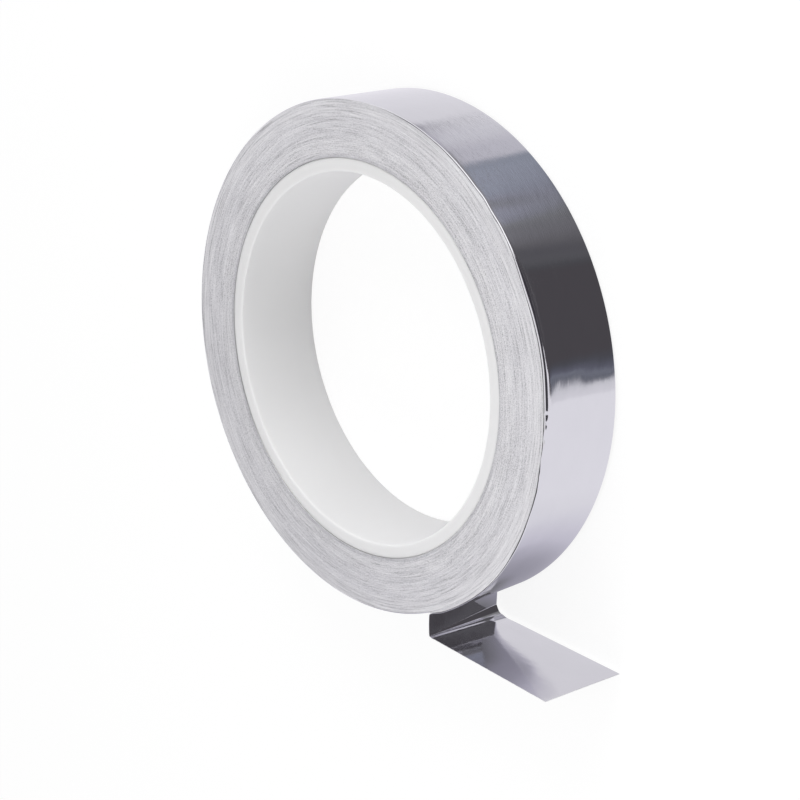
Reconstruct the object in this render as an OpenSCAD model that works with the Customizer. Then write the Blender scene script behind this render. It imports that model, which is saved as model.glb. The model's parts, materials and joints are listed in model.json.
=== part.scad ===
// A roll of aluminium foil tape on a plastic core, with its free end peeled off and folded out.
// The roll lies on its core's lower end. Z is the roll's axis and X runs along the free tail.

/* [Core] */
// Radius of the core's bore
bore_r = 38.1; // [30:0.1:42]
// Thickness of the core's wall
core_wall = 2.8; // [2:0.1:5]
// Length of the core along the axis
core_w = 19.4; // [18:0.1:30]
// Rounding of the two edges of the bore
bore_edge_r = 0.4; // [0.1:0.05:0.6]
// Chamfer of the core's two edges beside the tape
rim_chamfer = 0.25; // [0.1:0.05:0.6]

/* [Wound tape] */
// Thickness of the foil with its adhesive
tape_t = 0.105; // [0.08:0.005:0.15]
// Turns wound on the core
turns = 111; // [60:1:160]
// Width of the tape
tape_w = 19; // [10:0.1:28]
// Height of the tape's lower edge above the core's lower end
tape_lift = 0.6; // [0.2:0.1:1]
// Clearance between the core and the first turn
seat_gap = 0.02; // [0.01:0.01:0.1]
// Turns that each ridge on the end faces stands for
turns_per_ridge = 10; // [8:1:16]
// Outer turns that lie level, without a ridge
level_turns = 6; // [4:1:12]
// Height of the ridges on the end faces
ridge_h = 0.12; // [0.04:0.01:0.15]
// Share of a ridge's width that its steep side takes
steep_share = 0.3; // [0.2:0.05:0.5]

/* [Free tail] */
// Angle of the peel line from the roll's lowest point, towards the tail
peel_a = 28.3; // [20:0.1:40]
// Height of the flat run above the roll's lowest point
tail_rise = 0.9; // [0.2:0.1:1.5]
// Length of the flat run, from the drop to the middle of the cut end
tail_run = 33.8; // [15:0.1:60]
// How much longer the tail is at its lower edge than at its upper edge
cut_skew = 1.6; // [0:0.1:3]
// Radius of the fold at the tape's upper edge
fold_r_top = 1; // [0.6:0.1:1.5]
// Radius of the fold at the tape's lower edge
fold_r_low = 2.2; // [1:0.1:2.5]
// Length of the tail's root that is sunk into the winding
root_l = 0.6; // [0.4:0.1:1]
// How far the drop's foil side lies behind the edge of the last turn
peel_sink = 0.02; // [0.01:0.01:0.05]
// How far the tail's long edges lie inside the winding's end faces
edge_inset = 0.01; // [0.01:0.01:0.1]

/* [Hidden] */
$fn = 120;

core_r = bore_r + core_wall;
wound_in_r = core_r + seat_gap;
wound_out_r = wound_in_r + turns * tape_t;
tape_top = tape_lift + tape_w;

// Ridges on the end faces
ridges = floor((turns - level_turns) / turns_per_ridge);
ridge_w = turns_per_ridge * tape_t;

// Middle of the tape's thickness on the drop and on the flat run
peel_dir = peel_a - 90;
drop_x = wound_out_r * cos(peel_dir) - tape_t / 2 - peel_sink;
drop_top_y = wound_out_r * sin(peel_dir);
flat_y = tail_rise - wound_out_r;
fold_steps = 12;

// How far a cutting shape reaches past what it cuts
past = 1;

// What rounding the bore's edge at the core's lower end takes away from its section
module bore_edge_cut() {
    translate([bore_r, 0])
        difference() {
            translate([-past, -past])
                square(bore_edge_r + past);
            translate([bore_edge_r, bore_edge_r])
                circle(bore_edge_r);
        }
}

// What the chamfer beside the tape takes away there
module rim_cut() {
    translate([core_r, 0])
        rotate(45)
            square(rim_chamfer * sqrt(2), center = true);
}

module core() {
    color([0.94, 0.94, 0.93])
        rotate_extrude()
            difference() {
                translate([bore_r, 0])
                    square([core_wall, core_w]);
                bore_edge_cut();
                rim_cut();
                translate([0, core_w])
                    mirror([0, 1]) {
                        bore_edge_cut();
                        rim_cut();
                    }
            }
}

// Half of the outermost turn: a half disc whose centre is moved a little along the peel direction
module half_turn(r, shift, side_turn) {
    rotate(peel_dir)
        intersection() {
            translate([shift, 0])
                circle(r);
            rotate(side_turn)
                translate([-2 * r, 0])
                    square([4 * r, 2 * r]);
        }
}

// Outline of the winding: its radius falls by one thickness over one turn and steps back at the peel line
module wound_outline() {
    half_turn(wound_out_r - tape_t / 4, tape_t / 4, 0);
    half_turn(wound_out_r - tape_t * 3 / 4, -tape_t / 4, 180);
}

// What the valleys between the ridges take away from an upper end face at height 0
module valleys() {
    ridge_line = [
        for (i = [0 : ridges], high = [0, 1])
            [wound_in_r + (i + high * steep_share) * ridge_w, (high - 1) * ridge_h]
    ];
    rotate_extrude()
        polygon(concat(
            [[wound_in_r - past, past], [wound_in_r - past, -ridge_h]],
            ridge_line,
            [[wound_in_r + (ridges + steep_share) * ridge_w, past]]
        ));
}

function fold_r(share) = fold_r_low + (fold_r_top - fold_r_low) * share;
function cut_x(share) = drop_x + tail_run + (0.5 - share) * cut_skew;

// One face of the tail, seen along the roll's axis, at the lower edge (share 0) or the upper edge (share 1)
function tail_face(share, off) = concat(
    [[drop_x + off, drop_top_y + root_l]],
    [
        for (i = [0 : fold_steps])
            let (a = 180 + 90 * i / fold_steps, r = fold_r(share))
                [drop_x + r + (r - off) * cos(a), flat_y + r + (r - off) * sin(a)]
    ],
    [[cut_x(share), flat_y + off]]
);

function at_height(list, z) = [for (p = list) [p[0], p[1], z]];

// Both triangles of a four-sided face
function two(a, b, c, d) = [[a, b, c], [a, c, d]];

// The free end: down from the peel line, round the fold and out along the flat run
module tail() {
    back_low = at_height(tail_face(0, -tape_t / 2), tape_lift + edge_inset);
    foil_low = at_height(tail_face(0, tape_t / 2), tape_lift + edge_inset);
    back_high = at_height(tail_face(1, -tape_t / 2), tape_top - edge_inset);
    foil_high = at_height(tail_face(1, tape_t / 2), tape_top - edge_inset);
    n = len(back_low);
    strip = [
        for (i = [0 : n - 2])
            each concat(
                two(i, i + 1, n + i + 1, n + i),
                two(2 * n + i, 3 * n + i, 3 * n + i + 1, 2 * n + i + 1),
                two(i, 2 * n + i, 2 * n + i + 1, i + 1),
                two(n + i, n + i + 1, 3 * n + i + 1, 3 * n + i)
            )
    ];
    root = two(0, n, 3 * n, 2 * n);
    cut = two(n - 1, 3 * n - 1, 4 * n - 1, 2 * n - 1);
    polyhedron(concat(back_low, foil_low, back_high, foil_high), concat(strip, root, cut));
}

module foil_tape() {
    color([0.74, 0.75, 0.78]) {
        difference() {
            translate([0, 0, tape_lift])
                linear_extrude(tape_w)
                    wound_outline();
            translate([0, 0, tape_lift - past])
                cylinder(r = wound_in_r, h = tape_w + 2 * past);
            translate([0, 0, tape_top])
                valleys();
            translate([0, 0, tape_lift])
                mirror([0, 0, 1])
                    valleys();
        }
        tail();
    }
}

core();
foil_tape();
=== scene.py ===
import json
import math

import bpy
import numpy as np
from mathutils import Matrix, Vector


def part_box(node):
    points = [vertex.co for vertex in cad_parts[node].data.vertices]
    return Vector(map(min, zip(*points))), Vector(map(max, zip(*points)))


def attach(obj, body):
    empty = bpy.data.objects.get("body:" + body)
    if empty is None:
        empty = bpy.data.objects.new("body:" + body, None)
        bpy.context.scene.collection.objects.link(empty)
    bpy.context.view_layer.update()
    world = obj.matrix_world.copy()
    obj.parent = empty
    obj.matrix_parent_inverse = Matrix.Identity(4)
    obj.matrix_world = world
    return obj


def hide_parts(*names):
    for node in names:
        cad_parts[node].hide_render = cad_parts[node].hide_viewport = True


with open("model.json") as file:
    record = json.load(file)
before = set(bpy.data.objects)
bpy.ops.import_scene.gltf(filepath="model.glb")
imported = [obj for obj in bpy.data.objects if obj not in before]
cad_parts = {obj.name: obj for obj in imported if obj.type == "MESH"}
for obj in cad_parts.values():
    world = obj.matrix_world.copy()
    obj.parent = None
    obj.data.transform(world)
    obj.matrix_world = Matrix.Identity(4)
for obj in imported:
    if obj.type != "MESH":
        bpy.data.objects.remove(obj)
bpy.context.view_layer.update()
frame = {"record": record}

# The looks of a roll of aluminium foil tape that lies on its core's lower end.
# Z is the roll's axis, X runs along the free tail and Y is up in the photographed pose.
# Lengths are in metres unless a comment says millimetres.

MM = 0.001
TURN = 2 * math.pi

# Sizes from the frame
_, core_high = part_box("core")
tape_low, tape_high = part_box("foil_tape")
bore_mount = next(m for m in frame["record"]["mounts"] if m["name"] == "core_bore")
BORE_R = bore_mount["dims"]["r_mm"] * MM
CORE_R = core_high.x
CORE_W = core_high.z
BORE_EDGE_R = 0.4 * MM
RIM_EDGE_R = 0.25 * MM

TAPE_T = 0.105 * MM
TURNS = 111
WOUND_IN_R = CORE_R + 0.02 * MM
WOUND_OUT_R = WOUND_IN_R + TURNS * TAPE_T
TAPE_BOTTOM = tape_low.z
TAPE_TOP = tape_high.z
TAPE_W = TAPE_TOP - TAPE_BOTTOM
PEEL_DIR = math.radians(28.3 - 90)


def smooth_noise(count, knots, seed):
    """Values from -1 to 1 that change smoothly over count samples, with about knots bends."""
    rng = np.random.default_rng(seed)
    values = rng.uniform(-1, 1, knots + 3)
    at = np.linspace(0, knots, count)
    low = np.minimum(at.astype(int), knots)
    share = at - low
    ease = share * share * (3 - 2 * share)
    return values[low] * (1 - ease) + values[low + 1] * ease


def set_uv(mesh, name, uv):
    """Gives a mesh a UV layer, from one pair for each point."""
    loops = np.empty(len(mesh.loops), np.int32)
    mesh.loops.foreach_get("vertex_index", loops)
    layer = mesh.uv_layers.new(name=name)
    layer.data.foreach_set("uv", np.asarray(uv, np.float32)[loops].ravel())


def make_piece(name, points, faces, materials, face_materials=None, uv=None):
    """A smooth mesh object that rides on the root body. uv gives one pair for each point."""
    mesh = bpy.data.meshes.new(name)
    mesh.from_pydata(np.asarray(points).tolist(), [], faces)
    for material in materials:
        mesh.materials.append(material)
    mesh.polygons.foreach_set("use_smooth", np.ones(len(faces), bool))
    if face_materials is not None:
        mesh.polygons.foreach_set("material_index", np.asarray(face_materials, np.int32))
    if uv is not None:
        set_uv(mesh, "tape", uv)
    mesh.validate()
    mesh.update()
    piece = bpy.data.objects.new(name, mesh)
    bpy.context.scene.collection.objects.link(piece)
    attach(piece, "root")
    return piece


# Materials


class Nodes:
    """A short way to build a node tree."""

    def __init__(self, tree):
        self.tree = tree
        tree.nodes.clear()

    def add(self, kind, inputs=None, **settings):
        node = self.tree.nodes.new(kind)
        for key, value in settings.items():
            setattr(node, key, value)
        for key, value in (inputs or {}).items():
            if isinstance(value, bpy.types.NodeSocket):
                self.tree.links.new(value, node.inputs[key])
            else:
                node.inputs[key].default_value = value
        return node

    def math(self, operation, a, b=0.0, c=0.0):
        return self.add("ShaderNodeMath", {0: a, 1: b, 2: c}, operation=operation).outputs[0]

    def ramp(self, factor, stops):
        """A colour that changes along a factor, from pairs of a place and a colour."""
        node = self.add("ShaderNodeValToRGB", {"Fac": factor})
        elements = node.color_ramp.elements
        while len(elements) > 1:
            elements.remove(elements[-1])
        elements[0].position = stops[0][0]
        elements[0].color = (*stops[0][1], 1)
        for position, color in stops[1:]:
            elements.new(position).color = (*color, 1)
        return node.outputs["Color"]

    def curve(self, factor, stops):
        """A number that changes along a factor, from pairs of a place and a value."""
        return self.split(self.ramp(factor, [(place, (value, 0, 0)) for place, value in stops]))["X"]

    def noise(self, vector, scale, detail=2.0, roughness=0.5):
        inputs = {"Vector": vector, "Scale": scale, "Detail": detail, "Roughness": roughness}
        return self.add("ShaderNodeTexNoise", inputs).outputs["Fac"]

    def spread(self, value, low, high, to_low, to_high):
        inputs = {"Value": value, "From Min": low, "From Max": high, "To Min": to_low, "To Max": to_high}
        return self.add("ShaderNodeMapRange", inputs).outputs["Result"]

    def mix(self, factor, a, b, blend="MIX"):
        node = self.add("ShaderNodeMix", {"Factor": factor}, data_type="RGBA", blend_type=blend)
        for index, value in ((6, a), (7, b)):
            if isinstance(value, bpy.types.NodeSocket):
                self.tree.links.new(value, node.inputs[index])
            else:
                node.inputs[index].default_value = (*value, 1)
        return node.outputs[2]

    def vector(self, x=0.0, y=0.0, z=0.0):
        return self.add("ShaderNodeCombineXYZ", {"X": x, "Y": y, "Z": z}).outputs[0]

    def split(self, vector):
        return self.add("ShaderNodeSeparateXYZ", {0: vector}).outputs

    def length(self, vector):
        return self.add("ShaderNodeVectorMath", {0: vector}, operation="LENGTH").outputs["Value"]

    def scaled(self, vector, factor):
        return self.add("ShaderNodeVectorMath", {0: vector, "Scale": factor}, operation="SCALE").outputs[0]

    def object_place(self):
        return self.add("ShaderNodeTexCoord").outputs["Object"]

    def bump(self, height, strength, depth, normal=None):
        """A bumped normal, over another one if that is given. depth is in metres."""
        inputs = {"Height": height, "Strength": strength, "Distance": depth}
        if normal is not None:
            inputs["Normal"] = normal
        return self.add("ShaderNodeBump", inputs).outputs[0]


def new_material(name):
    material = bpy.data.materials.new(name)
    material.use_nodes = True
    return material, Nodes(material.node_tree)


def finish_material(nodes, shader):
    nodes.add("ShaderNodeOutputMaterial", {"Surface": shader.outputs[0]})


BRUSHED_TO = 243 * MM
BRUSHED_FADE = 14 * MM
STRONG_STROKES = 0.9
WEAK_STROKES = 0.28
STROKE_DEPTH = 0.014 * MM
SWELL_DEPTH = 0.06 * MM
GRAIN_DEPTH = 0.05 * MM


def foil_material():
    """Bright rolled foil: nearly a mirror, with fine strokes along the tape and a slight swell.

    The strokes fade past a length of the tape, counted from the start of the outermost turn.
    """
    material, n = new_material("rolled_foil")
    parts = n.split(n.add("ShaderNodeUVMap", uv_map="tape").outputs[0])
    along, across = parts["X"], parts["Y"]

    def tape_noise(per_metre_along, per_metre_across, detail):
        x = n.math("MULTIPLY", along, per_metre_along)
        y = n.math("MULTIPLY", across, per_metre_across)
        return n.noise(n.vector(x, y), 1.0, detail, 0.6)

    strokes = tape_noise(480.0, 4200.0, 2.0)
    patches = tape_noise(160.0, 240.0, 3.0)
    swell = tape_noise(110.0, 190.0, 2.0)
    both = n.math("MULTIPLY_ADD", strokes, 0.5, n.math("MULTIPLY", patches, 0.5))
    rough = n.spread(both, 0.3, 0.7, 0.05, 0.085)
    tint = n.mix(patches, (0.78, 0.776, 0.797), (0.82, 0.816, 0.836))
    brushed = n.spread(along, BRUSHED_TO, BRUSHED_TO + BRUSHED_FADE, STRONG_STROKES, WEAK_STROKES)
    fine = n.bump(strokes, brushed, STROKE_DEPTH)
    broad = n.bump(swell, 0.5, SWELL_DEPTH, fine)
    shader = n.add("ShaderNodeBsdfPrincipled", {
        "Base Color": tint, "Metallic": 1.0, "Roughness": rough, "Normal": broad,
    })
    finish_material(n, shader)
    return material


# Kinds of marks on the cut edges: how many lie along a metre of the radius, and how much each changes
# round the roll

LINE_MARKS = (2900.0, 4.7)
THREAD_MARKS = (7000.0, 7.0)
DASH_MARKS = (4600.0, 55.0)
BAND_MARKS = (700.0, 2.2)


def flat_place(n):
    """The place as seen along the roll's axis."""
    parts = n.split(n.object_place())
    return n.vector(parts["X"], parts["Y"])


def polar_place(n, across, around):
    """A seamless vector that changes quickly with the radius and slowly round the axis."""
    flat = flat_place(n)
    unit = n.split(n.add("ShaderNodeVectorMath", {0: flat}, operation="NORMALIZE").outputs[0])
    return n.vector(
        n.math("MULTIPLY", n.length(flat), across),
        n.math("MULTIPLY", unit["X"], around),
        n.math("MULTIPLY", unit["Y"], around),
    )


def wound_edge_material():
    """The turns' cut edges: matt light grey lines with a grain of dust, in bands of tone; by the core,
    painted shade.
    """
    material, n = new_material("wound_edges")
    place = n.object_place()
    winding = n.spread(n.length(flat_place(n)), WOUND_IN_R, WOUND_OUT_R, 0.0, 1.0)
    grainy = n.curve(winding, [(0.0, 1.0), (0.3, 1.0), (0.68, 0.9), (0.82, 0.6), (1.0, 0.5)])
    lined = n.curve(winding, [(0.0, 0.65), (0.45, 0.65), (0.7, 0.8), (0.9, 0.9), (0.97, 1.5)])

    def marks(pitch, detail, roughness):
        return n.noise(polar_place(n, *pitch), 1.0, detail, roughness)

    def sway(noise, amount):
        return n.math("MULTIPLY", n.math("SUBTRACT", noise, 0.5), amount)

    tone = 0.5
    for part in (
        sway(marks(LINE_MARKS, 2.0, 0.6), lined),
        sway(marks(THREAD_MARKS, 1.0, 0.5), 1.1),
        sway(marks(DASH_MARKS, 1.0, 0.5), n.math("MULTIPLY", grainy, 0.45)),
        sway(n.noise(place, 4200.0, 1.5, 0.6), n.math("MULTIPLY", grainy, 1.7)),
        sway(marks(BAND_MARKS, 2.0, 0.6), 0.45),
        sway(n.noise(place, 150.0, 3.0, 0.55), 0.12),
    ):
        tone = n.math("ADD", tone, part)
    color = n.ramp(tone, [
        (0.0, (0.36, 0.355, 0.375)), (0.25, (0.59, 0.583, 0.607)),
        (0.5, (0.735, 0.727, 0.752)), (0.75, (0.83, 0.822, 0.845)), (1.0, (0.94, 0.935, 0.95)),
    ])
    # Tone bands across the winding; the darker band next to the core is painted shade where the turns meet it
    band_tone_and_core_shade = n.ramp(winding, [
        (0.0, (0.74, 0.74, 0.75)), (0.035, (0.84, 0.84, 0.85)), (0.07, (0.96, 0.96, 0.96)),
        (0.25, (0.98, 0.98, 0.98)), (0.42, (0.955, 0.955, 0.96)), (0.68, (0.975, 0.975, 0.98)),
        (0.82, (1, 1, 1)), (1.0, (1, 1, 1)),
    ])
    color = n.mix(1.0, color, band_tone_and_core_shade, "MULTIPLY")
    shader = n.add("ShaderNodeBsdfPrincipled", {
        "Base Color": color, "Metallic": 0.12, "Roughness": 0.5, "Normal": n.bump(tone, 0.35, GRAIN_DEPTH),
    })
    finish_material(n, shader)
    return material


def adhesive_material(name, dull, bright):
    """The back of the tape, foil under a clear sticky film, mottled between two tones. Nearly black, it is
    painted shade.
    """
    material, n = new_material(name)
    uv = n.add("ShaderNodeUVMap", uv_map="tape").outputs[0]
    mottle = n.noise(n.scaled(uv, 600.0), 1.0, 4.0, 0.6)
    shader = n.add("ShaderNodeBsdfPrincipled", {
        "Base Color": n.mix(mottle, dull, bright), "Metallic": 0.7,
        "Roughness": n.spread(mottle, 0.3, 0.7, 0.38, 0.5),
        "Normal": n.bump(mottle, 0.15, GRAIN_DEPTH), "Coat Weight": 0.3,
    })
    finish_material(n, shader)
    return material


# Painted light on the core: how far the paler bore wall reaches out onto its ends, how far in from the rim
# the paler outer part of its ends starts, and how far in it is full

PAINTED_LIGHT_BORE = 0.6 * MM
PAINTED_LIGHT_RIM = 1.6 * MM
FULL_PAINTED_LIGHT_RIM = 0.3 * MM


def core_material():
    """White moulded plastic with a satin skin that lets a little light in.

    Painted light makes it a touch paler on the bore's wall and towards the outer edge of its ends.
    """
    material, n = new_material("white_plastic")
    place = n.object_place()
    cloud = n.noise(place, 45.0, 3.0)
    skin = n.noise(place, 1600.0, 3.0, 0.6)
    radius = n.length(flat_place(n))
    # Painted light: the colour is scaled up on the bore's wall and towards the rim of the ends
    painted_light_at_bore = n.spread(radius, BORE_R, BORE_R + PAINTED_LIGHT_BORE, 1.02, 1.012)
    painted_light_at_rim = n.spread(radius, CORE_R - PAINTED_LIGHT_RIM, CORE_R - FULL_PAINTED_LIGHT_RIM, 0.0, 0.06)
    color = n.mix(cloud, (0.785, 0.783, 0.788), (0.825, 0.823, 0.826))
    color = n.scaled(color, n.math("ADD", painted_light_at_bore, painted_light_at_rim))
    shader = n.add("ShaderNodeBsdfPrincipled", {
        "Base Color": color, "Roughness": n.spread(cloud, 0.3, 0.7, 0.4, 0.5),
        "Normal": n.bump(skin, 0.06, GRAIN_DEPTH), "IOR": 1.49,
        "Subsurface Weight": 1.0, "Subsurface Radius": (0.003, 0.003, 0.003), "Subsurface Scale": 0.3,
    })
    finish_material(n, shader)
    return material


# The core

CORE_STEPS = 288


def arc(x, y, r, start, end, steps):
    """Points on an arc, with its angles in degrees."""
    angles = np.radians(np.linspace(start, end, steps + 1))
    return [(x + r * math.cos(a), y + r * math.sin(a)) for a in angles]


def build_core(material):
    """The ring, turned from its section, with rounded edges."""
    b, e = BORE_EDGE_R, RIM_EDGE_R
    section = []
    section += arc(BORE_R + b, CORE_W - b, b, 180, 90, 6)
    section += arc(CORE_R - e, CORE_W - e, e, 90, 0, 4)
    section += arc(CORE_R - e, e, e, 0, -90, 4)
    section += arc(BORE_R + b, b, b, 270, 180, 6)
    section += [(BORE_R, z) for z in np.linspace(b, CORE_W - b, 8)[1:-1]]
    section = np.array(section)
    steps, size = CORE_STEPS, len(section)
    angles = np.linspace(0, TURN, steps, endpoint=False)
    points = np.empty((steps, size, 3))
    points[:, :, 0] = np.cos(angles)[:, None] * section[:, 0]
    points[:, :, 1] = np.sin(angles)[:, None] * section[:, 0]
    points[:, :, 2] = section[:, 1]
    faces = []
    for i in range(steps):
        here, there = i * size, (i + 1) % steps * size
        for j in range(size):
            k = (j + 1) % size
            faces.append((here + j, here + k, there + k, there + j))
    piece = make_piece("moulded_core", points.reshape(-1, 3), faces, [material])
    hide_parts("core")


# How the last turn stands off the roll: angles in degrees from +X towards +Y, and distances in millimetres.
# The peel line is at the first angle. The front is the edge at the top.
# ROLLED_EDGE is a share of the full lip.

PEEL_A = math.degrees(PEEL_DIR)
LOOSE_FRONT = [
    (PEEL_A, 0.30), (-57, 0.62), (-37, 0.90), (-15, 0.64), (0, 0.56), (18, 0.92), (30, 0.64),
    (43, 0.82), (47.5, 0.58), (50.5, 0.74), (54.5, 0.50), (60, 0.44), (72, 0.28), (82, 0.12), (88, 0.0),
]
LOOSE_REAR = [(PEEL_A, 0.2), (-50, 0.35), (-16, 0.35), (28, 0.0)]
ROLLED_EDGE = [
    (PEEL_A, 0.05), (-42, 0.05), (-34, 0.08), (-12, 0.18), (-4, 1.0), (31, 1.0), (39, 0.3), (60, 0.25),
    (72, 0.12),
]
LIP_GAP = [(PEEL_A, 0.02), (-34, 0.02), (-27, 0.12), (-8, 0.18), (4, 0.12), (32, 0.12), (40, 0.05)]
LIP_REACH = 0.5
LIP_SLOPE = math.radians(17)
LIP_END = math.radians(88)
LEAST_LIP_R = 0.06
LIP_R_GAIN = 0.31


def eased(pairs, at):
    """Values that pass smoothly through pairs of a place and a value, and stay level outside them."""
    places, values = np.array(pairs, float).T
    high = np.clip(np.searchsorted(places, at), 1, len(places) - 1)
    low = high - 1
    share = np.clip((at - places[low]) / (places[high] - places[low]), 0, 1)
    ease = share * share * (3 - 2 * share)
    return values[low] + (values[high] - values[low]) * ease


def from_peel(angle):
    """The angle in degrees, counted up from the peel line's own."""
    return (np.degrees(angle) - PEEL_A + 0.001) % 360 + PEEL_A - 0.001


def lip_radius(rolled):
    """The radius of the rolled lip, in millimetres."""
    return LEAST_LIP_R + LIP_R_GAIN * rolled


def lip_reach(rolled):
    """How far the rolled lip's inner edge comes in from the tape's middle line, in millimetres."""
    slope = LIP_SLOPE * rolled
    curl = lip_radius(rolled) * (np.cos(slope) - math.cos(LIP_END))
    return LIP_REACH * np.tan(slope) + curl + TAPE_T / MM / 2


# The wound turns below the outermost one

WOUND_STEPS = 180
WOUND_TURNS = TURNS - 2
FOIL_SHARE = 0.55
GROOVE_DEPTH = 0.03 * MM
EDGE_WANDER = 0.05 * MM
BURNISH = 0.03 * MM
BURNISH_TURNS = 1.2
INSET = 0.01 * MM
SPREAD_START_R = 49 * MM


def edge_heights(count, seed):
    """How far below the tape's edge plane each sample of the spiral lies."""
    short = smooth_noise(count, count // 14, seed)
    turn_by_turn = smooth_noise(count, WOUND_TURNS * 2, seed + 1)
    broad = smooth_noise(count, WOUND_TURNS // 5, seed + 2)
    wander = 0.2 * short + 0.45 * turn_by_turn + 0.35 * broad
    return EDGE_WANDER * (0.5 - 0.5 * wander)


def build_winding(edge, painted_gap_shade, adhesive):
    """The turns below the outermost one, as one spiral with a groove between its turns on both end faces.

    The wall that the outermost turn covers shows only in the gap below its lip, coloured nearly black as
    painted shade.
    """
    steps = WOUND_STEPS
    count = steps * WOUND_TURNS + 1
    turns_in = np.arange(count) / steps
    angle = PEEL_DIR + TURN * turns_in
    radius = WOUND_OUT_R - INSET - TAPE_T * (1 + turns_in)
    groove_r = radius - TAPE_T * FOIL_SHARE
    wall = steps

    burnish = BURNISH * np.exp(-turns_in / BURNISH_TURNS)
    upper = TAPE_TOP - edge_heights(count, 11) - burnish
    lower = TAPE_BOTTOM + edge_heights(count, 47) + burnish
    at = from_peel(angle)
    room = lip_reach(eased(ROLLED_EDGE, at)) + eased(LIP_GAP, at)
    looseness = np.maximum(eased(LOOSE_FRONT, at) - room, 0) * MM
    share = np.clip((radius - SPREAD_START_R) / (radius[0] - SPREAD_START_R), 0, 1)
    spread = looseness * share * share

    def ring(r, z, a=angle):
        return np.column_stack([r * np.cos(a), r * np.sin(a), z])

    wall_angle = PEEL_DIR + TURN * np.arange(wall) / steps
    wall_r = np.full(wall, WOUND_IN_R)
    blocks = [
        ring(radius + spread, upper), ring(groove_r + spread, upper - GROOVE_DEPTH),
        ring(radius, lower), ring(groove_r, lower + GROOVE_DEPTH),
        ring(wall_r, np.full(wall, TAPE_TOP - EDGE_WANDER - GROOVE_DEPTH), wall_angle),
        ring(wall_r, np.full(wall, TAPE_BOTTOM + EDGE_WANDER + GROOVE_DEPTH), wall_angle),
    ]
    starts = np.cumsum([0] + [len(b) for b in blocks[:-1]])
    up, up_groove, low, low_groove, wall_up, wall_low = (int(s) for s in starts)
    points = np.vstack(blocks)

    faces = []
    last = count - 1
    for i in range(last):
        j = i + 1
        if j + steps <= last:
            in_up, in_up_next = up + i + steps, up + j + steps
            in_low, in_low_next = low + i + steps, low + j + steps
        else:
            in_up, in_up_next = wall_up + i % steps, wall_up + j % steps
            in_low, in_low_next = wall_low + i % steps, wall_low + j % steps
        faces.append((up + i, up + j, up_groove + j, up_groove + i))
        faces.append((up_groove + i, up_groove + j, in_up_next, in_up))
        faces.append((low + j, low + i, low_groove + i, low_groove + j))
        faces.append((low_groove + j, low_groove + i, in_low, in_low_next))
    face_materials = [0] * len(faces)
    for i in range(steps):
        j = (i + 1) % steps
        faces.append((up + i + 1, up + i, low + i, low + i + 1))
        faces.append((wall_up + i, wall_up + j, wall_low + j, wall_low + i))
        face_materials += [1, 2]
    before = last - steps
    faces.append((up, up_groove, up + steps, low + steps, low_groove, low))
    faces.append((up_groove + before, up + last, up_groove + last, wall_up + last % steps))
    faces.append((low + last, low_groove + before, wall_low + last % steps, low_groove + last))
    face_materials += [1, 0, 0]
    uv = np.column_stack([np.arctan2(points[:, 1], points[:, 0]) * WOUND_OUT_R, points[:, 2]])
    piece = make_piece("wound_turns", points, faces, [edge, painted_gap_shade, adhesive], face_materials, uv)
    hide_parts("foil_tape")


# The outermost turn and the free tail, one strip

ROLL_STATIONS = 720
DROP_X = 24.86 * MM
LEVEL_UPPER = -51.48 * MM
LEVEL_LOWER = -51.80 * MM
CUT_UPPER_X = 57.95 * MM
CUT_LOWER_X = 59.45 * MM
SLOPE_UPPER = math.radians(-0.5)
SLOPE_LOWER = math.radians(0.9)
LIP_STEPS = 9
SMALLEST_ARC = 0.05 * MM
SHARP_ANGLE = math.radians(50)
LOWER_LIP_R = 0.07 * MM
LOWER_LIP_SLOPE = math.radians(1)
LOWER_LIP_END = math.radians(55)
LIP_FADE_STATIONS = 7.0

# How much the gap wavers in millimetres, and where that and the lip's ragged part come and go, by angles
# in degrees

WOBBLE = 0.05
WOBBLE_STARTS = [(-44, 0.2), (-30, 1.0)]
WOBBLE_STOPS = [(60, 1.0), (80, 0.0)]
RAGGED_LIP = [(-22, 0.0), (-12, 0.4), (3, 0.4), (8, 0.0)]

# Distances of the section's flat rows from where the lip starts

FLAT_ROWS = np.array([7.6, 5.6, 3.8, 2.4, 1.5, 1.0, 0.68, 0.46, 0.3, 0.18, 0.08, 0.0]) * MM


def half_section(slope, arc_length, end_tilt):
    """Half of the tape's section, from near its middle line to one edge, for a list of stations.

    slope is the tilt where the lip starts, and end_tilt the tilt at the edge. Gives each row's distance
    inward, its distance from the edge plane and its tilt, as tables of stations by rows.
    """
    fall_off = np.exp(-FLAT_ROWS / (LIP_REACH * MM))[None, :]
    rise = np.tan(slope)[:, None]
    inward = LIP_REACH * MM * rise * fall_off
    tilt = np.arctan(rise * fall_off)
    step = (arc_length / LIP_STEPS)[:, None]
    middles = slope[:, None] + (end_tilt - slope)[:, None] * (np.arange(LIP_STEPS)[None, :] + 0.5) / LIP_STEPS
    ends = slope[:, None] + (end_tilt - slope)[:, None] * (np.arange(LIP_STEPS)[None, :] + 1) / LIP_STEPS
    lip_inward = inward[:, -1:] + np.cumsum(np.sin(middles) * step, axis=1)
    lip_height = np.cumsum(np.cos(middles) * step, axis=1)
    top = lip_height[:, -1:] + TAPE_T / 2 * np.sin(end_tilt)[:, None]
    depth = np.concatenate([top + FLAT_ROWS[None, :], top - lip_height], axis=1)
    return np.concatenate([inward, lip_inward], axis=1), depth, np.concatenate([tilt, ends], axis=1)


def flat_shares():
    """Share of the width, from the lower edge, at which each row of the section belongs."""
    upper = np.concatenate([1 - FLAT_ROWS / TAPE_W, np.ones(LIP_STEPS)])
    return np.concatenate([(1 - upper)[::-1], [0.5], upper])


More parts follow.
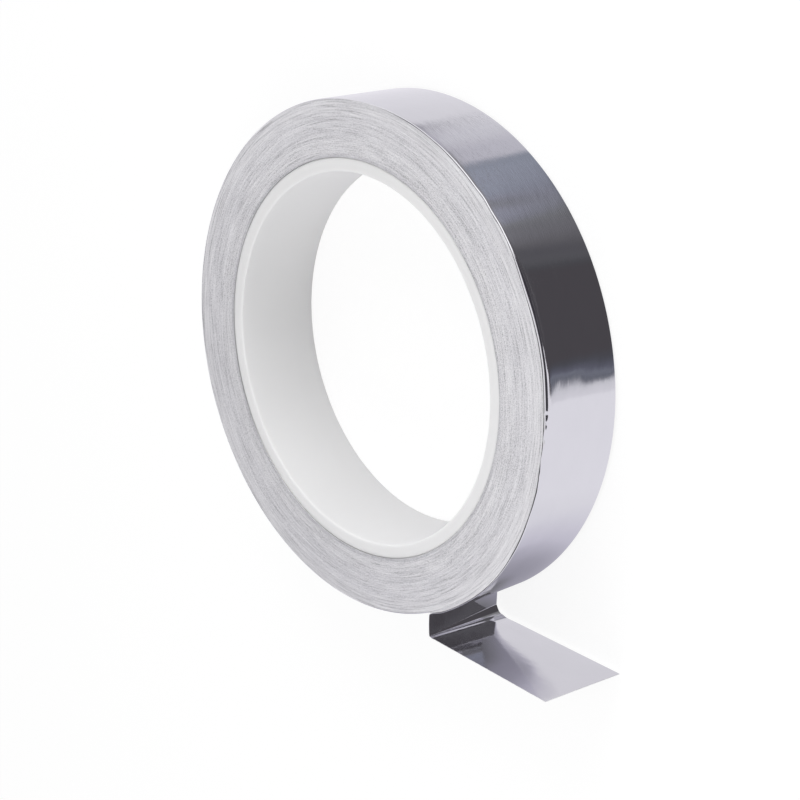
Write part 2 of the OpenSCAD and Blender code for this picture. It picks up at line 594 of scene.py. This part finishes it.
def tail_path(front, start_r):
    """The middle of the tape's thickness from the peel line to the cut, at a share of the width from below.

    Returns points and headings. Both creases fan out from the fold's upper corner.
    """
    open_share = 1 - front
    first_r = (0.25 + 0.50 * open_share) * MM
    second_r = (0.35 + 1.05 * open_share) * MM
    facet = (0.05 + 0.95 * open_share) * MM
    ripple = (0.5 + 0.9 * open_share) * MM
    slope = SLOPE_LOWER + (SLOPE_UPPER - SLOPE_LOWER) * front
    level = LEVEL_LOWER + (LEVEL_UPPER - LEVEL_LOWER) * front
    cut_x = CUT_LOWER_X + (CUT_UPPER_X - CUT_LOWER_X) * front
    start_heading = PEEL_DIR - math.pi / 2
    down = -math.pi / 2
    leaning = down + math.radians(7) * front
    after_first = math.radians(-58)
    after_facet = after_first + math.radians(4)
    after_second = math.radians(-4)
    dip = math.radians(-15)
    rebound = math.radians(2.5)
    x, y = start_r * math.cos(PEEL_DIR), start_r * math.sin(PEEL_DIR)
    peel_r = (x - DROP_X) / (math.sin(start_heading) - math.sin(down))

    def bend(length, from_heading, to_heading, steps):
        return [(length / steps, from_heading, to_heading, steps)]

    before_drop = bend(peel_r * (down - start_heading), start_heading, down, 8)
    after_drop = (
        bend(first_r * (after_first - leaning), leaning, after_first, 10)
        + bend(facet, after_first, after_facet, 4)
        + bend(second_r * (after_second - after_first), after_facet, after_second, 14)
        + bend(ripple * 0.5, after_second, dip, 6)
        + bend(ripple * 1.0, dip, rebound, 8)
        + bend(ripple * 2.2, rebound, slope, 8)
    )

    def fall(runs):
        total = 0.0
        for step, first, last, steps in runs:
            for k in range(steps):
                total += step * math.sin(first + (last - first) * (k + 0.5) / steps)
        return total

    drop = (y + fall(before_drop) + fall(after_drop) - level) / math.cos((leaning - down) / 2)
    runs = before_drop + bend(drop, down, leaning, 12) + after_drop
    points, headings = [], []
    for step, first, last, steps in runs:
        for k in range(steps):
            heading = first + (last - first) * (k + 0.5) / steps
            x += step * math.cos(heading)
            y += step * math.sin(heading)
            points.append((x, y))
            headings.append(first + (last - first) * (k + 1) / steps)
    flat_steps = 40
    for k in range(flat_steps):
        share = (k + 1) / flat_steps
        points.append((x + (cut_x - x) * share, y + (cut_x - x) * share * math.tan(slope)))
        headings.append(slope)
    return np.array(points), np.array(headings)


def build_strip(foil, adhesive, edge):
    """The outermost turn, which leaves the roll at the peel line, drops, folds and lies out flat."""
    shares = flat_shares()
    rows = len(shares)
    turns_in = np.linspace(1, 0, ROLL_STATIONS + 1)
    angle = PEEL_DIR + TURN * turns_in
    place = PEEL_A + 360 * turns_in
    wobble = WOBBLE * smooth_noise(len(angle), 90, 5) * eased(WOBBLE_STOPS, place)
    wobble *= eased(WOBBLE_STARTS, place)
    front = eased(LOOSE_FRONT, place) + wobble
    rear = eased(LOOSE_REAR, place)
    ragged = eased(RAGGED_LIP, place)
    rolled = eased(ROLLED_EDGE, place) * (1 + 0.12 * smooth_noise(len(angle), 60, 6))
    rolled *= 1 + ragged * smooth_noise(len(angle), 350, 8)
    r0 = WOUND_OUT_R - INSET - TAPE_T * (0.5 + turns_in)
    r = r0[:, None] + (rear[:, None] * (1 - shares) + front[:, None] * shares) * MM

    paths = [tail_path(share, start_r) for share, start_r in zip(shares, r[-1])]
    stations = len(paths[0][0])
    fade = np.exp(-np.arange(1, stations + 1) / LIP_FADE_STATIONS)
    rolled = np.concatenate([rolled, rolled[-1] * fade])
    kept = np.concatenate([np.ones(len(angle)), fade])

    upper_slope = LIP_SLOPE * rolled
    upper_end = LIP_END * kept
    upper_arc = np.maximum(lip_radius(rolled) * MM * (upper_end - upper_slope), SMALLEST_ARC)
    lower_slope = LOWER_LIP_SLOPE * kept
    lower_end = LOWER_LIP_END * kept
    lower_arc = np.maximum(LOWER_LIP_R * (lower_end - lower_slope), SMALLEST_ARC)
    up_in, up_depth, up_tilt = half_section(upper_slope, upper_arc, upper_end)
    low_in, low_depth, low_tilt = half_section(lower_slope, lower_arc, lower_end)
    nothing = np.zeros((len(kept), 1))
    inward = np.concatenate([low_in[:, ::-1], nothing, up_in], axis=1)
    tilt = np.concatenate([-low_tilt[:, ::-1], nothing, up_tilt], axis=1)
    middle = nothing + (TAPE_TOP + TAPE_BOTTOM) / 2
    height = np.concatenate([TAPE_BOTTOM + low_depth[:, ::-1], middle, TAPE_TOP - up_depth], axis=1)

    total = len(angle) + stations
    base = np.empty((total, rows, 2))
    side = np.empty((total, rows, 2))
    side[:len(angle), :, 0] = np.cos(angle)[:, None]
    side[:len(angle), :, 1] = np.sin(angle)[:, None]
    base[:len(angle)] = r[:, :, None] * side[:len(angle)]
    for j, (points, headings) in enumerate(paths):
        base[len(angle):, j] = points
        side[len(angle):, j, 0] = np.cos(headings + math.pi / 2)
        side[len(angle):, j, 1] = np.sin(headings + math.pi / 2)
    mid = np.concatenate([base - side * inward[:, :, None], height[:, :, None]], axis=2)
    normal = np.concatenate([side * np.cos(tilt)[:, :, None], np.sin(tilt)[:, :, None]], axis=2)
    outer = mid + normal * TAPE_T / 2
    inner = mid - normal * TAPE_T / 2

    loop = np.concatenate([outer, inner[:, ::-1]], axis=1)
    size = loop.shape[1]
    steps = np.linalg.norm(np.diff(mid[:, rows // 2], axis=0), axis=1)
    length = np.concatenate([[0], np.cumsum(steps)])
    v = np.concatenate([shares, shares[::-1]]) * TAPE_W
    uv = np.stack([np.repeat(length[:, None], size, 1), np.repeat(v[None, :], total, 0)], axis=2)

    faces, face_materials = [], []
    for i in range(total - 1):
        here, there = i * size, (i + 1) * size
        for j in range(size):
            k = (j + 1) % size
            faces.append((here + j, here + k, there + k, there + j))
            if j < rows - 1:
                face_materials.append(0)
            elif j == rows - 1 or j == size - 1:
                face_materials.append(2)
            else:
                face_materials.append(1)
    for i, turn in ((0, False), (total - 1, True)):
        for j in range(rows - 1):
            a, b = i * size + j, i * size + j + 1
            c, d = i * size + size - 2 - j, i * size + size - 1 - j
            faces.append((a, b, c, d) if turn else (d, c, b, a))
            face_materials.append(2)
    materials = [foil, adhesive, edge]
    piece = make_piece(
        "outer_turn_and_tail", loop.reshape(-1, 3), faces, materials, face_materials, uv.reshape(-1, 2)
    )
    piece.data.set_sharp_from_angle(angle=SHARP_ANGLE)
    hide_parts("foil_tape")


# The studio

STUDIO_GLOW = 1.13
FLOOR_HALF = 2.5
FLOOR_GLOW = 0.84


def stage_mesh(name, points, faces):
    """A mesh object of the studio."""
    mesh = bpy.data.meshes.new(name)
    mesh.from_pydata(points, [], faces)
    piece = bpy.data.objects.new(name, mesh)
    bpy.context.scene.collection.objects.link(piece)
    return piece


def build_floor():
    """A wide pale floor, white to the camera.

    The foil doesn't mirror it, so that it mirrors the studio as in the photographed pose.
    """
    half = FLOOR_HALF
    corners = [(-half, -half, 0), (half, -half, 0), (half, half, 0), (-half, half, 0)]
    floor = stage_mesh("floor", corners, [(0, 1, 2, 3)])
    material, n = new_material("pale_floor")
    bounce = n.add("ShaderNodeBsdfDiffuse", {"Color": (0.9, 0.9, 0.9, 1)}).outputs[0]
    seen = n.add("ShaderNodeBsdfDiffuse", {"Color": (0.2, 0.2, 0.2, 1)}).outputs[0]
    glow = n.add("ShaderNodeEmission", {"Color": (1, 1, 1, 1), "Strength": FLOOR_GLOW}).outputs[0]
    both = n.add("ShaderNodeAddShader", {0: seen, 1: glow}).outputs[0]
    to_camera = n.add("ShaderNodeLightPath").outputs["Is Camera Ray"]
    finish_material(n, n.add("ShaderNodeMixShader", {0: to_camera, 1: bounce, 2: both}))
    floor.data.materials.append(material)
    floor.visible_glossy = False


def mirrored_board(piece, material, n, color):
    """Gives a board its colour as light, and leaves it to the foil's mirror image alone."""
    finish_material(n, n.add("ShaderNodeEmission", {"Color": color, "Strength": STUDIO_GLOW}))
    piece.data.materials.append(material)
    piece.visible_camera = False
    piece.visible_diffuse = False
    piece.visible_transmission = False
    piece.visible_shadow = False


CARD_X = (-0.2, 0.25)
CARD_Y = -52.7 * MM
CARD_Z = (-0.3, 0.15)
CARD_SHADE_X = 30 * MM
CARD_SHADE_REACH = 60 * MM
CARD_SHADE_NARROWING = 1.15


def build_card():
    """A pale glowing board beside the roll that only the foil mirrors, with a painted shadow where the roll
    touches it.
    """
    (x0, x1), (z0, z1) = CARD_X, CARD_Z
    corners = [(x0, CARD_Y, z0), (x0, CARD_Y, z1), (x1, CARD_Y, z1), (x1, CARD_Y, z0)]
    card = stage_mesh("card", corners, [(0, 1, 2, 3)])
    material, n = new_material("card_with_painted_shadow")
    parts = n.split(n.object_place())
    beyond = n.math("MULTIPLY", n.math("SUBTRACT", parts["X"], CARD_SHADE_X), CARD_SHADE_NARROWING)
    beyond = n.math("MAXIMUM", beyond, 0.0)
    away = n.length(n.vector(beyond, parts["Z"]))
    # Painted shadow of the roll: the card's colour darkens towards where the roll touches it
    color = n.ramp(n.math("DIVIDE", away, CARD_SHADE_REACH), [
        (0.0, (0.15, 0.148, 0.165)), (0.05, (0.215, 0.211, 0.24)), (0.083, (0.255, 0.249, 0.292)),
        (0.117, (0.288, 0.28, 0.333)), (0.183, (0.314, 0.305, 0.36)), (0.25, (0.35, 0.34, 0.4)),
        (0.317, (0.415, 0.403, 0.472)), (0.378, (0.486, 0.472, 0.548)), (0.42, (0.54, 0.525, 0.605)),
        (0.52, (0.6, 0.585, 0.66)), (0.67, (0.675, 0.665, 0.725)), (0.80, (0.725, 0.715, 0.765)),
        (1.0, (0.75, 0.74, 0.79)),
    ])
    mirrored_board(card, material, n, color)


# The shade board in millimetres: its lower edge, as places along Y and heights, and the depth of its soft
# edge, which is at most a share of its height. SHADE_FADE is how much of the shade is left along Y.

SHADE_X = 24 * MM
SHADE_CURVE = [
    (-50.5, -0.1), (-49.6, -0.5), (-47.5, -1.0), (-44.6, -2.8), (-40.5, -7.2), (-36.8, -11.0), (-34.2, -13.4),
    (-30.2, -15.7), (-26.9, -18.6), (-24.5, -20.0), (-22.0, -20.5),
]
SHADE_SOFT = 3.5
SHADE_SOFT_SHARE = 0.7
SHADE_FADE = [(-34, 1.0), (-31, 0.65), (-27.5, 0.28), (-24.5, 0.15)]
SHADE_STEPS = 40
SHADE_ROWS = 9


def build_shade():
    """A small board under the roll that glows as painted shade; the free tail mirrors it as the soft shade
    below the roll.
    """
    places, lows = np.array(SHADE_CURVE).T
    across = np.linspace(places[0], places[-1], SHADE_STEPS)
    low = np.interp(across, places, lows)
    fade = np.interp(across, *np.array(SHADE_FADE).T)
    points, faces, uv = [], [], []
    for y, bottom, kept in zip(across, low, fade):
        for k in range(SHADE_ROWS):
            z = bottom - bottom * k / (SHADE_ROWS - 1)
            points.append((SHADE_X, y * MM, z * MM))
            uv.append((y, kept * min((z - bottom) / min(SHADE_SOFT, -SHADE_SOFT_SHARE * bottom), 1.0)))
    for i in range(SHADE_STEPS - 1):
        for k in range(SHADE_ROWS - 1):
            a = i * SHADE_ROWS + k
            faces.append((a, a + SHADE_ROWS, a + SHADE_ROWS + 1, a + 1))
    shade = stage_mesh("shade", points, faces)
    set_uv(shade.data, "soft", uv)
    material, n = new_material("painted_shade_board")
    soft = n.split(n.add("ShaderNodeUVMap", uv_map="soft").outputs[0])["Y"]
    # Painted shade: paler at the soft lower edge and darker above it
    color = n.ramp(soft, [
        (0.0, (0.64, 0.63, 0.67)), (0.25, (0.50, 0.485, 0.55)), (0.6, (0.36, 0.35, 0.41)),
        (1.0, (0.30, 0.292, 0.34)),
    ])
    mirrored_board(shade, material, n, color)


def azimuth(degrees):
    """Place of a compass direction on the studio's ramps, counted from +X towards +Y."""
    return degrees / 360 + 0.5


def by_azimuth(stops):
    """Stops whose directions in degrees are turned into places on the studio's ramps."""
    return [(azimuth(degrees), value) for degrees, value in stops]


def sine(degrees):
    """The height on the studio's walls of an elevation in degrees."""
    return math.sin(math.radians(degrees))


# The studio's colours, and its heights. A height is the sine of an elevation, and a pair of them is where a
# change starts and where it ends.

LIGHT = (0.75, 0.735, 0.785)
DARK = (0.067, 0.0625, 0.07)
DARKEST = (0.045, 0.042, 0.05)
DIM = (0.13, 0.128, 0.14)
GREY = (0.21, 0.208, 0.219)
BRIGHT_PANEL = (1.3, 1.3, 1.32)
CALM_PANEL = (0.86, 0.855, 0.885)
CEILING = (0.76, 0.75, 0.78)
LEAN_HEIGHT = -0.69
LEAN = 0.22
STREAK_HEIGHTS = (-0.795, -0.68)
STREAK_LIFT = 0.42
TWICE_HEIGHTS = (-0.685, -0.66)
DEEP_HEIGHTS = (-0.653, -0.643)
BORDER_LOW = sine(-37.5)
BORDER_HIGH = sine(-28)
BORDER_SOFT = 0.004
HIGH_HEIGHTS = (sine(-27), sine(-24))
CALM_HEIGHTS = (0.02, 0.12)
CEILING_HEIGHTS = (sine(47), sine(54))


def low_zone(n, turn, height):
    """What the tread mirrors in the photographed view: steps of grey from the pale walls to the dark panel.

    The steps lean with the height, and the panel's grey part grows paler with it.
    """
    lean = n.spread(turn, azimuth(45), azimuth(80), 0.24, 1.0)
    above = n.math("ADD", height, -LEAN_HEIGHT)
    leaning = n.math("MULTIPLY_ADD", n.math("MULTIPLY", above, lean), LEAN, turn)
    color = n.ramp(leaning, by_azimuth([
        (-180, (0.79, 0.78, 0.81)), (-60, (0.755, 0.745, 0.79)), (-36, LIGHT), (-24, (0.70, 0.69, 0.745)),
        (-15.5, (0.65, 0.64, 0.69)), (-12.7, (0.60, 0.595, 0.64)), (-11.4, (0.12, 0.125, 0.155)),
        (-10.3, (0.10, 0.105, 0.13)), (-8.8, (0.19, 0.20, 0.245)), (-7, (0.105, 0.107, 0.14)),
        (-2.4, (0.07, 0.071, 0.084)), (2, DARK), (41, DARK), (43.5, (0.07, 0.07, 0.078)),
        (45.6, (0.094, 0.093, 0.103)), (50, (0.087, 0.085, 0.096)), (54.4, (0.122, 0.119, 0.13)),
        (59, (0.154, 0.151, 0.167)), (67.7, (0.192, 0.194, 0.21)), (72.2, (0.209, 0.212, 0.248)),
        (76.6, (0.234, 0.238, 0.285)), (85.8, (0.238, 0.25, 0.302)), (101, (0.24, 0.258, 0.31)),
        (103.5, (0.50, 0.492, 0.548)), (112.5, (0.515, 0.507, 0.562)), (117, (0.565, 0.555, 0.605)),
        (120.5, (0.60, 0.595, 0.64)), (131, (0.672, 0.663, 0.705)), (142, (0.69, 0.68, 0.72)),
        (162, (0.75, 0.74, 0.785)), (180, (0.79, 0.78, 0.81)),
    ]))
    streaky = n.curve(turn, by_azimuth([(55, 0), (72, 1), (98, 1), (102, 0)]))
    lift = n.math("MULTIPLY_ADD", n.spread(height, *STREAK_HEIGHTS, -STREAK_LIFT, STREAK_LIFT), streaky, 1.0)
    return n.scaled(color, lift)


def twice_zone(n, turn, height):
    """What foil mirrors by way of other foil, such as the drop in the flat tail."""
    color = n.ramp(turn, by_azimuth([
        (-12, LIGHT), (-10, DARK), (52, DARK), (72, GREY), (106, GREY), (116, (0.36, 0.35, 0.4)),
        (123, (0.4, 0.39, 0.45)), (126, (0.25, 0.245, 0.28)), (131, (0.27, 0.265, 0.3)),
        (136, (0.665, 0.655, 0.695)), (142, (0.665, 0.655, 0.695)), (180, LIGHT),
    ]))
    facing = n.curve(turn, by_azimuth([(12, 0), (24, 1), (50, 1), (62, 0)]))
    deep = n.math("MULTIPLY", facing, n.spread(height, *DEEP_HEIGHTS, 1.0, 0.0))
    return n.mix(deep, color, (0.12, 0.118, 0.128))


def middle_zone(n, turn):
    """A narrow band of the walls, above the low zones and below the upper walls."""
    return n.ramp(turn, by_azimuth([
        (-180, LIGHT), (10, LIGHT), (16, DIM), (40, DIM), (43, (0.2, 0.2, 0.21)), (75, (0.4, 0.4, 0.43)),
        (95, (0.36, 0.36, 0.39)), (138, (0.38, 0.38, 0.41)), (150, LIGHT), (180, LIGHT),
    ]))


def high_zone(n, turn, height):
    """The upper walls, with a bright panel that is calmer at the horizon and below."""
    color = n.ramp(turn, by_azimuth([
        (-180, LIGHT), (-104, LIGHT), (-96, (0.36, 0.36, 0.38)), (-46, (0.25, 0.25, 0.27)), (-38, DARKEST),
        (42, DARKEST), (50, BRIGHT_PANEL), (98, BRIGHT_PANEL), (106, (0.9, 0.89, 0.92)),
        (150, (0.85, 0.84, 0.87)), (180, LIGHT),
    ]))
    calm = n.mix(1.0, color, CALM_PANEL, "DARKEN")
    return n.mix(n.spread(height, *CALM_HEIGHTS, 0.0, 1.0), calm, color)


def mirrored_studio(n, turn, height):
    """What the foil mirrors: a dark panel towards +X and +Y between pale walls, in zones of height."""
    once, twice = low_zone(n, turn, height), twice_zone(n, turn, height)
    seen = n.mix(n.spread(height, *TWICE_HEIGHTS, 0.0, 1.0), once, twice)
    climb = n.spread(turn, azimuth(-5), azimuth(18), 0.0, BORDER_HIGH - BORDER_LOW)
    border = n.math("SUBTRACT", n.math("SUBTRACT", height, BORDER_LOW), climb)
    seen = n.mix(n.spread(border, -BORDER_SOFT, BORDER_SOFT, 0.0, 1.0), seen, middle_zone(n, turn))
    seen = n.mix(n.spread(height, *HIGH_HEIGHTS, 0.0, 1.0), seen, high_zone(n, turn, height))
    return n.mix(n.spread(height, *CEILING_HEIGHTS, 0.0, 1.0), seen, CEILING)


PANEL_WAY = (0.94, 0.34, 0.0)


def build_world():
    """Soft white light, dimmer from the dark panel's side and from above.

    Foil mirrors a studio of its own, and the camera sees white.
    """
    world = bpy.data.worlds.new("studio")
    bpy.context.scene.world = world
    world.use_nodes = True
    n = Nodes(world.node_tree)
    way = n.add("ShaderNodeTexCoord").outputs["Generated"]
    parts = n.split(way)
    turn = n.math("MULTIPLY_ADD", n.math("ARCTAN2", parts["Y"], parts["X"]), 1 / TURN, 0.5)
    towards_panel = n.add("ShaderNodeVectorMath", {0: way, 1: PANEL_WAY}, operation="DOT_PRODUCT")
    soft = n.spread(towards_panel.outputs["Value"], -0.2, 0.9, 0.93, 0.62)
    soft = n.math("MULTIPLY", soft, n.spread(parts["Z"], 0.1, 1.0, 1.0, 0.5))
    path = n.add("ShaderNodeLightPath").outputs
    ambient = n.add("ShaderNodeBackground", {"Color": (1, 1, 1, 1), "Strength": soft})
    studio = mirrored_studio(n, turn, parts["Z"])
    mirrored = n.add("ShaderNodeBackground", {"Color": studio, "Strength": STUDIO_GLOW})
    white = n.add("ShaderNodeBackground", {"Color": (1, 1, 1, 1), "Strength": 1.0})
    glossy = path["Is Glossy Ray"]
    inside = n.add("ShaderNodeMixShader", {0: glossy, 1: ambient.outputs[0], 2: mirrored.outputs[0]})
    clear = n.math("MAXIMUM", path["Is Camera Ray"], path["Is Transmission Ray"])
    shown = n.add("ShaderNodeMixShader", {0: clear, 1: inside.outputs[0], 2: white.outputs[0]})
    n.add("ShaderNodeOutputWorld", {"Surface": shown.outputs[0]})


ROLL_MIDDLE = (0, 0, 0.01)


def area_light(name, place, aim, size, power):
    """A square soft light that points at aim. Neither the camera nor the foil sees it."""
    data = bpy.data.lights.new(name, "AREA")
    data.size = size
    data.energy = power
    lamp = bpy.data.objects.new(name, data)
    lamp.location = place
    lamp.rotation_euler = (Vector(aim) - Vector(place)).to_track_quat("-Z", "Y").to_euler()
    lamp.visible_camera = False
    lamp.visible_glossy = False
    bpy.context.scene.collection.objects.link(lamp)


# The photographed view: the camera's place in millimetres, its directions, and its lens and sensor

CAMERA_PLACE = (281.5, 130.7, 264.05)
CAMERA_FORWARD = (-0.69248, -0.34865, -0.63159)
CAMERA_UP = (-0.28598, 0.93641, -0.20337)
CAMERA_LENS = 88.55
CAMERA_SENSOR = 36


def build_camera():
    """The photographed view: the roll is seen from in front and right, with the camera rolled to match."""
    data = bpy.data.cameras.new("camera")
    camera = bpy.data.objects.new("camera", data)
    bpy.context.scene.collection.objects.link(camera)
    place = Vector(CAMERA_PLACE) * MM
    forward = Vector(CAMERA_FORWARD).normalized()
    up = Vector(CAMERA_UP)
    right = forward.cross(up).normalized()
    up = right.cross(forward)
    turned = Matrix((right, up, -forward)).transposed().to_4x4()
    turned.translation = place
    camera.matrix_world = turned
    data.sensor_width = CAMERA_SENSOR
    data.lens = CAMERA_LENS
    data.clip_start = 0.01
    data.clip_end = 20
    bpy.context.scene.camera = camera


build_camera()
build_world()
build_floor()
build_card()
build_shade()
area_light("bore_light", (0.05, 0.60, 0.25), ROLL_MIDDLE, 0.4, 1.75)
area_light("low_light", (0.12, -0.50, 0.25), ROLL_MIDDLE, 0.3, 0.5)
area_light("front_light", (0.15, 0.02, 0.20), ROLL_MIDDLE, 0.1, 0.10)

foil = foil_material()
edges = wound_edge_material()
adhesive = adhesive_material("adhesive_side", (0.42, 0.42, 0.425), (0.52, 0.52, 0.525))
# Nearly black adhesive for the wall inside the gap below the outer turn's lip: painted shade
painted_gap_shade = adhesive_material("painted_gap_shade_adhesive", (0.07, 0.07, 0.073), (0.12, 0.12, 0.125))
build_core(core_material())
build_winding(edges, painted_gap_shade, adhesive)
build_strip(foil, adhesive, edges)

bpy.context.scene.view_settings.view_transform = "Standard"
